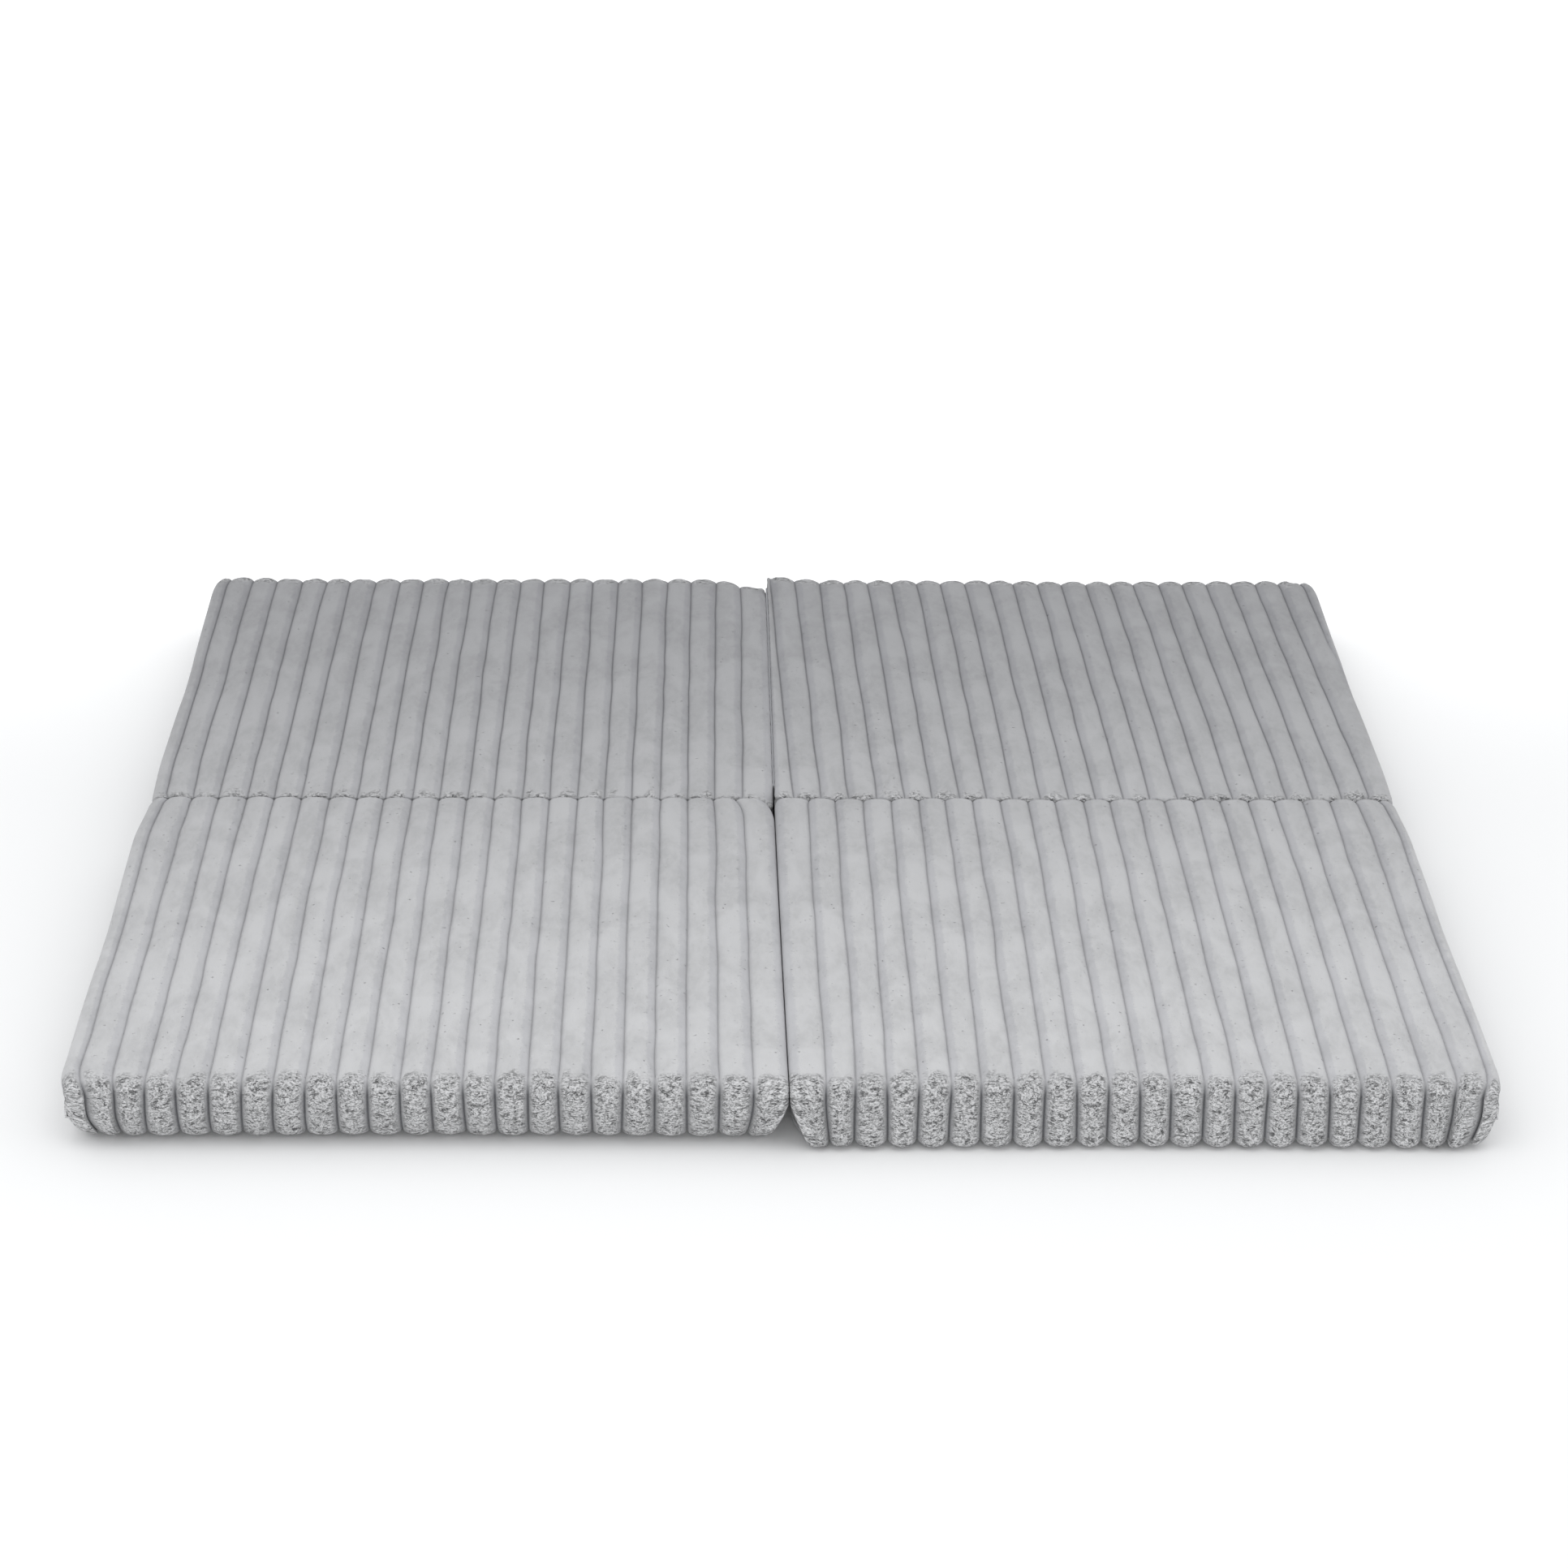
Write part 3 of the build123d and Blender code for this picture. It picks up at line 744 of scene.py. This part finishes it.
def gusset_mesh(panel, outer):
    """The side band of a cover. The outer one has a window for the zip."""
    bottom, side, top = panel.roll(np.array([0.0, 1.0, 2.0]), inner=not outer)
    ledge = (SIDE_LEDGE + 0.6) * MM
    z0, z1 = panel.lo.z + bottom + ledge, panel.hi.z - top - ledge
    y0, y1 = panel.lo.y + side + ledge, panel.hi.y - side - ledge
    middle = (panel.lo.z + panel.hi.z) / 2
    if outer:
        tape_lo, tape_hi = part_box(f"{panel.name}_zip_upper_tape")
        w0, w1 = tape_lo[1] + TAPE_OVERLAP, tape_hi[1] - TAPE_OVERLAP
        low, high = middle - WINDOW_HALF, middle + WINDOW_HALF
        bands = [(z0, low), (low, high), (high, z1)]
    else:
        grooves = [middle - WALE_PITCH / 2, middle + WALE_PITCH / 2]
        bands = list(zip([z0, *grooves], [*grooves, z1]))

    steps = np.array([0, 0.03, 0.08, 0.16, 0.27, 0.4, 0.5, 0.6, 0.73, 0.84, 0.92, 0.97])
    zs, vs, band_of = [], [], []
    for index, (a, b) in enumerate(bands):
        for w in steps:
            zs.append(a + (b - a) * w)
            vs.append(abs(2 * w - 1))
            band_of.append(index)
    zs, vs = np.array(zs + [bands[-1][1]]), np.array(vs + [1.0])
    band_of.append(len(bands) - 1)

    fine = np.array([0, 0.4, 1.0, 2.0, 3.5, 5.5, 8.0]) * MM
    if outer:
        ys = np.concatenate([
            y0 + fine, np.linspace(y0 + 10 * MM, w0 - 10 * MM, 3), w0 - fine[::-1][:-1],
            [w0], w0 + fine[1:], np.linspace(w0 + 12 * MM, w1 - 12 * MM, 70), w1 - fine[::-1][:-1],
            [w1], w1 + fine[1:], np.linspace(w1 + 10 * MM, y1 - 10 * MM, 3), y1 - fine[::-1],
        ])
        ys = np.unique(np.round(ys, 7))
    else:
        ys = np.concatenate([y0 + fine, np.linspace(y0 + 12 * MM, y1 - 12 * MM, 80), y1 - fine[::-1]])
    Y, Z = np.meshgrid(ys, zs, indexing="ij")
    V = np.broadcast_to(vs, Y.shape)
    depth = 0.3 * MM + 3.6 * MM * (1 - np.sqrt(np.clip(1 - V**2.4, 0, 1)))
    ends = np.minimum(Y - y0, y1 - Y)
    depth = np.maximum(depth, SEAM_DEPTH * (1 - smoothstep(ends / (6 * MM))))
    hole = np.zeros_like(Y, bool)
    if outer:
        inside_y = (Y > w0 - 1e-6) & (Y < w1 + 1e-6)
        outside = np.maximum(np.maximum(w0 - Y, Y - w1), 0)
        in_band = (np.array(band_of) == 1)[None, :] | np.isclose(Z, bands[2][0])
        beyond = SEAM_DEPTH * (1 - smoothstep(outside / (6 * MM))) + 0.6 * MM
        depth = np.where(in_band & ~inside_y, beyond, depth)
        depth = np.where(in_band & inside_y, 4.6 * MM, depth)
        hole = inside_y & in_band
    depth = depth + 0.5 * MM * lattice(Y, Z, 22 * MM, 12 * MM, panel.seed + 3)
    d = panel.width - depth if outer else depth
    verts = panel.soften(d.ravel(), Y.ravel(), Z.ravel())
    if outer:  # the band stays with the zip, which neither swells nor sags
        held = smoothstep(1.35 - np.abs(Z - middle) / (13 * MM)).ravel()[:, None]
        still = np.stack([panel.x_inner + panel.side * d.ravel(), Y.ravel(), Z.ravel()], axis=-1)
        verts = verts * (1 - held) + still * held
    faces, uvs = grid_faces(zs, ys, hole, flipped=(panel.side > 0) != outer)
    kind = "outer" if outer else "inner"
    attributes = {"groove": V.ravel() * 0.8, "lie": pile_lie(verts)}
    for key, value in (("nap", 0.25), ("across", 0.5), ("turned", 0.7)):
        attributes[key] = np.full(Y.size, value)
    obj = make_object(
        f"{panel.name}_{kind}_gusset_cloth", verts, faces, corduroy, uvs, attributes
    )
    work = bmesh.new()
    work.from_mesh(obj.data)
    loose = [v for v in work.verts if not v.link_faces]
    bmesh.ops.delete(work, geom=loose, context="VERTS")
    work.to_mesh(obj.data)
    work.free()
    return thicken(obj, GUSSET_THICKNESS, -1.0)


def block_steps(low, high, radius, cells):
    """Positions along one axis of a block, closer together in its rounded corners."""
    corner = [radius * (1 - math.cos(math.pi / 2 * k / 4)) for k in range(4)]
    middle = np.linspace(low + radius, high - radius, cells + 1)
    return np.concatenate([low + np.array(corner), middle, high - np.array(corner[::-1])])


def soft_block(name, panel, inset, z0, z1, radius, material):
    """A rounded block from z0 to z1, that far in from the cover, bent to the panel's soft form."""
    far = panel.width - (panel.swell + 1.0) * MM  # the swelling of the outer side moves it too
    low = np.array([inset, panel.lo.y + inset, z0])
    high = np.array([far - inset, panel.hi.y - inset, z1])
    axes = [block_steps(low[i], high[i], radius, cells) for i, cells in enumerate((28, 28, 3))]
    places, faces = block_grid(axes)
    points = np.array([[axes[a][place[a]] for a in range(3)] for place in places])
    core = np.clip(points, low + radius, high - radius)
    offset = points - core
    reach = np.maximum(np.linalg.norm(offset, axis=1, keepdims=True), 1e-9)
    d, y, z = (core + offset / reach * radius).T
    obj = make_object(name, panel.soften(d, y, z), faces, material)
    face_outwards(obj)
    return obj


def apply_modifiers(obj):
    """Makes what the modifiers give into the object's own mesh."""
    view = bpy.context.evaluated_depsgraph_get()
    view.update()
    mesh = bpy.data.meshes.new_from_object(
        obj.evaluated_get(view), preserve_all_data_layers=True, depsgraph=view
    )
    obj.modifiers.clear()
    obj.data = mesh
    return obj


def thicken(obj, thickness, offset=0.0):
    """Gives a sheet its thickness, on both sides of it or, with an offset of -1, behind it."""
    skin = obj.modifiers.new("thickness", "SOLIDIFY")
    skin.thickness = thickness
    skin.offset = offset
    return apply_modifiers(obj)


STRIP_THICKNESS = TAPE_THICKNESS = 0.7 * MM


def hinge_strip(name, axis, low, high, crest, flap):
    """Cloth folded over along a hinge: two flaps side by side in the gap, joined at the crest.
    axis is the direction of the fold, 0 for X and 1 for Y. flap is down (-) or up (+) from it."""
    half, turn = 0.55 * MM, 0.55 * MM
    profile = [(-half, flap), (-half, flap * 0.66), (-half, flap * 0.33)]
    profile += [(-half, math.copysign(turn, flap))]
    profile += [
        (-half * math.cos(a), math.copysign(turn * (1 - math.sin(a)), flap))
        for a in np.linspace(0, math.pi, 9)[1:-1]
    ]
    profile += [(-x, z) for x, z in profile[3::-1]]
    verts = []
    ats = np.linspace(low, high, 261)
    for at in ats:
        for x, z in profile:
            sway = 0.15 * MM * signed(at, np.array(z * 9), 17 * MM, 30 * MM, 5)
            point = [at, x + sway, crest + z] if axis == 0 else [x + sway, at, crest + z]
            verts.append(point)
    faces, uvs = grid_faces(np.arange(len(profile)) * 3 * MM, ats)
    return thicken(make_object(name, verts, faces, hinge_cloth, uvs), STRIP_THICKNESS)


def tape_sheet(node):
    """A woven zip tape in the place of its CAD node, a little wavy along its free edge."""
    lo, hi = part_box(node)
    upper = node.endswith("upper_tape")
    ys, zs = np.linspace(lo.y, hi.y, 201), np.linspace(lo.z, hi.z, 9)
    Y, Z = np.meshgrid(ys, zs, indexing="ij")
    free = (hi.z - Z) / (hi.z - lo.z) if upper else (Z - lo.z) / (hi.z - lo.z)
    middle = (lo.x + hi.x) / 2
    wave = 0.25 * MM * signed(Y, Z * 3, 16 * MM, 30 * MM, 71) * (1 - free)
    cord_edge = 0.2 * MM * np.exp(-(((1 - free) * 15 - 14.0) ** 2))
    X = middle + wave + math.copysign(1.0, middle) * cord_edge
    faces, uvs = grid_faces(zs, ys)
    verts = np.stack([X.ravel(), Y.ravel(), Z.ravel()], axis=-1)
    return thicken(make_object(f"{node}_weave", verts, faces, tape_cloth, uvs), TAPE_THICKNESS)


def node_group(name, inputs):
    """A geometry node tree with named inputs, each (name, socket kind, value)."""
    tree = bpy.data.node_groups.new(name, "GeometryNodeTree")
    tree.interface.new_socket("Geometry", in_out="OUTPUT", socket_type="NodeSocketGeometry")
    for label, kind, value in inputs:
        socket = tree.interface.new_socket(label, in_out="INPUT", socket_type=kind)
        if value is not None:
            socket.default_value = value
    start = tree.nodes.new("NodeGroupInput")
    return tree, start.outputs


def finish_group(tree, geometry, material):
    """Realize Instances and Set Material, then the output."""
    real = add(tree, "GeometryNodeRealizeInstances", {"Geometry": geometry}).outputs["Geometry"]
    final = add(tree, "GeometryNodeSetMaterial", {"Geometry": real, "Material": material})
    add(tree, "NodeGroupOutput", {"Geometry": final.outputs["Geometry"]})
    return tree


def coil_tree():
    """A row of coil loops along Y: an oval of nylon thread for each tooth."""
    tree, given = node_group(
        "zip_coil_row",
        (
            ("Start", "NodeSocketVector", (0.0, 0.0, 0.0)),
            ("Count", "NodeSocketInt", 100),
            ("Pitch", "NodeSocketFloat", 1.3 * MM),
            ("Loop", "NodeSocketVector", (1.0, 1.0, 1.0)),
            ("Thread", "NodeSocketFloat", 0.24 * MM),
            ("Material", "NodeSocketMaterial", None),
        ),
    )
    step = add(tree, "ShaderNodeCombineXYZ", {"Y": given["Pitch"]}).outputs["Vector"]
    along = {"Count": given["Count"], "Start Location": given["Start"], "Offset": step}
    line = add(tree, "GeometryNodeMeshLine", along, mode="OFFSET").outputs["Mesh"]
    circle = "GeometryNodeCurvePrimitiveCircle"
    ring = add(tree, circle, {"Resolution": 12, "Radius": 1.0}).outputs["Curve"]
    thread = add(tree, circle, {"Resolution": 5, "Radius": given["Thread"]}).outputs["Curve"]
    upright = {"Geometry": ring, "Rotation": (math.pi / 2, 0.0, 0.0), "Scale": given["Loop"]}
    oval = add(tree, "GeometryNodeTransform", upright).outputs["Geometry"]
    loop = add(tree, "GeometryNodeCurveToMesh", {"Curve": oval, "Profile Curve": thread})
    slanted = {"Points": line, "Instance": loop.outputs["Mesh"], "Rotation": (0.0, 0.0, 0.22)}
    placed = add(tree, "GeometryNodeInstanceOnPoints", slanted)
    return finish_group(tree, placed.outputs["Instances"], given["Material"])


def stitch_tree():
    """Stitches along Y, each a short rounded thread, on the points of the object's own mesh."""
    tree, given = node_group(
        "stitch_row",
        (
            ("Places", "NodeSocketGeometry", None),
            ("Length", "NodeSocketFloat", 2.6 * MM),
            ("Thread", "NodeSocketFloat", 0.35 * MM),
            ("Seed", "NodeSocketInt", 3),
            ("Material", "NodeSocketMaterial", None),
        ),
    )
    half = maths(tree, "MULTIPLY", given["Length"], 0.5)
    scale = add(tree, "ShaderNodeCombineXYZ", {"X": given["Thread"], "Y": half, "Z": given["Thread"]})
    bead = add(tree, "GeometryNodeMeshIcoSphere", {"Radius": 1.0, "Subdivisions": 2})
    long_bead = {"Geometry": bead.outputs["Mesh"], "Scale": scale.outputs["Vector"]}
    stitch = add(tree, "GeometryNodeTransform", long_bead).outputs["Geometry"]
    turn = add(tree, "FunctionNodeRandomValue", {"Seed": given["Seed"]}, data_type="FLOAT_VECTOR")
    for socket in turn.inputs:
        if socket.type == "VECTOR" and socket.name in ("Min", "Max"):
            amount = -0.06 if socket.name == "Min" else 0.06
            socket.default_value = (amount, 0.0, amount)
    sewn = {"Points": given["Places"], "Instance": stitch, "Rotation": turn.outputs["Value"]}
    placed = add(tree, "GeometryNodeInstanceOnPoints", sewn)
    return finish_group(tree, placed.outputs["Instances"], given["Material"])


def stitch_places(band, y0, y1, heights, side):
    """Places for stitches on a side band, along rows at these heights."""
    surface = BVHTree.FromObject(band, bpy.context.evaluated_depsgraph_get())
    places = []
    for z in heights:
        for y in np.arange(y0, y1, STITCH_PITCH):
            hit, _, _, _ = surface.ray_cast(Vector((side * 0.7, y, z)), Vector((-side, 0.0, 0.0)))
            if hit is not None:
                places.append(hit)
    return places


def from_nodes(name, tree, points=(), **values):
    """A plain mesh object made by a geometry node tree from points, with these named inputs."""
    obj = bpy.data.objects.new(name, bpy.data.meshes.new(name))
    obj.data.from_pydata(points, [], [])
    bpy.context.scene.collection.objects.link(obj)
    modifier = obj.modifiers.new(name, "NODES")
    modifier.node_group = tree
    for item in tree.interface.items_tree:
        if item.in_out == "INPUT" and item.name in values:
            modifier[item.identifier] = values[item.name]
    obj.update_tag()
    apply_modifiers(obj)
    obj.data.polygons.foreach_set("use_smooth", [True] * len(obj.data.polygons))
    return obj


def declare(obj, body, slot, *nodes):
    """Says what a piece rides on and the CAD nodes that it replaces. slot is not used."""
    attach(obj, body)
    if nodes:
        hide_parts(*nodes)


# ---------------------------------------------------------------- building the panels
FOAM_BASE, FOAM_JOIN, FOAM_TOP = 9.5 * MM, 39.3 * MM, 57.5 * MM  # heights of the two slabs
FOAM_INSET, FOAM_RADIUS = 11.5 * MM, 4.0 * MM
LINER_ROOM, LINER_THICKNESS = 0.8 * MM, 0.7 * MM  # the bag's distance outside the foam
lo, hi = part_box("front_left_cover")
FILLED = filled_form(hi - lo)
for name in PANELS:
    panel = Panel(name)
    cover = cover_mesh(panel)
    declare(cover, name, "corduroy", f"{name}_cover")
    for outer in (False, True):
        band = gusset_mesh(panel, outer)
        declare(band, name, "corduroy", f"{name}_{'outer' if outer else 'inner'}_gusset")
    for part, material, z0, z1 in (
        ("base_foam", base_foam, FOAM_BASE, FOAM_JOIN),
        ("memory_foam", memory_foam, FOAM_JOIN, FOAM_TOP),
    ):
        block = soft_block(f"{name}_{part}_block", panel, FOAM_INSET, z0, z1, FOAM_RADIUS, material)
        declare(block, name, part, f"{name}_{part}")
    bag = soft_block(
        f"{name}_liner_bag", panel, FOAM_INSET - LINER_ROOM, FOAM_BASE - LINER_ROOM,
        FOAM_TOP + LINER_ROOM, FOAM_RADIUS + LINER_ROOM, liner_knit,
    )
    thicken(bag, LINER_THICKNESS, -1.0)
    declare(bag, name, "liner_knit", f"{name}_liner")

# ---------------------------------------------------------------- zips
COILS, STITCHES = coil_tree(), stitch_tree()
COIL_PITCH, COIL_THREAD, STITCH_PITCH = 1.3 * MM, 0.24 * MM, 3.6 * MM
STITCH_HEIGHT = 10.5 * MM  # of each row of topstitching from the zip's middle
for name in PANELS:
    lo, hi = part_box(f"{name}_zip_upper_tape")
    middle = sum(corner.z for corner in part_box(f"{name}_cover")) / 2
    places = stitch_places(
        bpy.data.objects[f"{name}_outer_gusset_cloth"], lo.y, hi.y,
        (middle - STITCH_HEIGHT, middle + STITCH_HEIGHT), math.copysign(1.0, lo.x),
    )
    seam = from_nodes(f"{name}_zip_topstitching", STITCHES, places, Material=sewing_thread)
    declare(seam, name, "corduroy")
    for half in ("upper", "lower"):
        weave = tape_sheet(f"{name}_zip_{half}_tape")
        lo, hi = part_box(f"{name}_zip_{half}_tape")
        declare(weave, name, "zip_tape", f"{name}_zip_{half}_tape")
        lo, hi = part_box(f"{name}_zip_{half}_coil")
        start = ((lo.x + hi.x) / 2, lo.y + COIL_PITCH / 2, (lo.z + hi.z) / 2)
        teeth = from_nodes(
            f"{name}_zip_{half}_coil_loops", COILS, Start=start, Pitch=COIL_PITCH,
            Count=int((hi.y - lo.y) / COIL_PITCH) - 1, Material=coil_nylon,
            Loop=((hi.x - lo.x) / 2 - COIL_THREAD, (hi.z - lo.z) / 2 - COIL_THREAD, 1.0),
        )
        declare(teeth, name, "zip_coil", f"{name}_zip_{half}_coil")

# ---------------------------------------------------------------- hinges
STRIP_FLAP = 25.0 * MM  # of cloth on either side of a fold
TOP_CREST, FLOOR_CREST = 6.5 * MM, 1.2 * MM  # of the folded edge, under the top and over the base
for name, axis, (a, b), (node_a, node_b), up in (
    ("centre_hinge_cloth", 1, ("back_left", "back_right"),
     ("centre_hinge_left_tape", "centre_hinge_right_tape"), True),
    ("left_hinge_cloth", 0, ("front_left", "back_left"),
     ("left_hinge_front_tape", "left_hinge_back_tape"), False),
    ("right_hinge_cloth", 0, ("front_right", "back_right"),
     ("right_hinge_front_tape", "right_hinge_back_tape"), False),
):
    lo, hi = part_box(node_a)
    crest = hi[2] - TOP_CREST if up else lo[2] + FLOOR_CREST
    strip = hinge_strip(name, axis, lo[axis], hi[axis], crest, -STRIP_FLAP if up else STRIP_FLAP)
    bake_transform(strip)
    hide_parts(node_a, node_b)

# ---------------------------------------------------------------- carried CAD pieces
FINISHES = {"stops": stop_metal, "slider": zip_metal, "pull": zip_metal}
for node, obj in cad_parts.items():
    kind = node.rsplit("_", 1)[-1]
    if kind in FINISHES and not obj.hide_render:
        for place in range(max(1, len(obj.material_slots))):
            if obj.material_slots:
                obj.material_slots[place].material = FINISHES[kind]
            else:
                obj.data.materials.append(FINISHES[kind])

# ---------------------------------------------------------------- floor, light and camera
floor_material, tree, shader = new_material("white_studio_floor")
place = add(tree, "ShaderNodeSeparateXYZ",
            {0: add(tree, "ShaderNodeTexCoord").outputs["Object"]}).outputs["Y"]
shader.inputs["Base Color"].default_value = linear("#f6f6f6")
shader.inputs["Roughness"].default_value = 0.95
shader.inputs["Emission Color"].default_value = (1.0, 1.0, 1.0, 1.0)
tree.links.new(spread(tree, place, 0.1, 1.2, 0.0, 0.35), shader.inputs["Emission Strength"])
corners = [(-15, -15, 0), (15, -15, 0), (15, 25, 0), (-15, 25, 0)]
floor = make_object("floor", corners, [(0, 1, 2, 3)], floor_material)

world = bpy.data.worlds.new("studio")
world.use_nodes = True
bpy.context.scene.world = world
sky = world.node_tree.nodes["Background"]
sky.inputs["Color"].default_value = (0.98, 0.99, 1.0, 1.0)
sky.inputs["Strength"].default_value = 0.95


def soft_light(name, place, target, size, power):
    """A white rectangular lamp that points at the target."""
    lamp = bpy.data.lights.new(name, "AREA")
    lamp.shape = "RECTANGLE"
    lamp.size, lamp.size_y = size
    lamp.energy = power
    obj = bpy.data.objects.new(name, lamp)
    bpy.context.scene.collection.objects.link(obj)
    obj.location = place
    obj.rotation_euler = (Vector(target) - Vector(place)).to_track_quat("-Z", "Y").to_euler()


soft_light("key", (-0.3, -1.0, 2.9), (0.0, -0.2, 0.0), (2.2, 1.6), 12.0)
soft_light("front", (0.1, -4.2, 0.75), (0.0, -0.5, 0.03), (1.6, 0.5), 33.0)

CAMERA_PLACE = Vector((-0.0679, -3.6706, 1.6716))
PITCH, YAW, ROLL = (math.radians(a) for a in (23.492, 1.206, 0.636))
forward = Vector((math.sin(YAW) * math.cos(PITCH), math.cos(YAW) * math.cos(PITCH), -math.sin(PITCH)))
level = Vector((math.cos(YAW), -math.sin(YAW), 0.0))
upward = level.cross(forward)
right = math.cos(ROLL) * level + math.sin(ROLL) * upward
upright = -math.sin(ROLL) * level + math.cos(ROLL) * upward
lens = bpy.data.cameras.new("camera")
lens.lens = 95.69
lens.sensor_width = 36.0
lens.clip_end = 60.0
camera = bpy.data.objects.new("camera", lens)
bpy.context.scene.collection.objects.link(camera)
camera.matrix_world = Matrix.Translation(CAMERA_PLACE) @ Matrix(
    (right, upright, -forward)
).transposed().to_4x4()
bpy.context.scene.camera = camera
bpy.context.scene.view_settings.view_transform = "Standard"
bpy.context.scene.view_settings.look = "None"
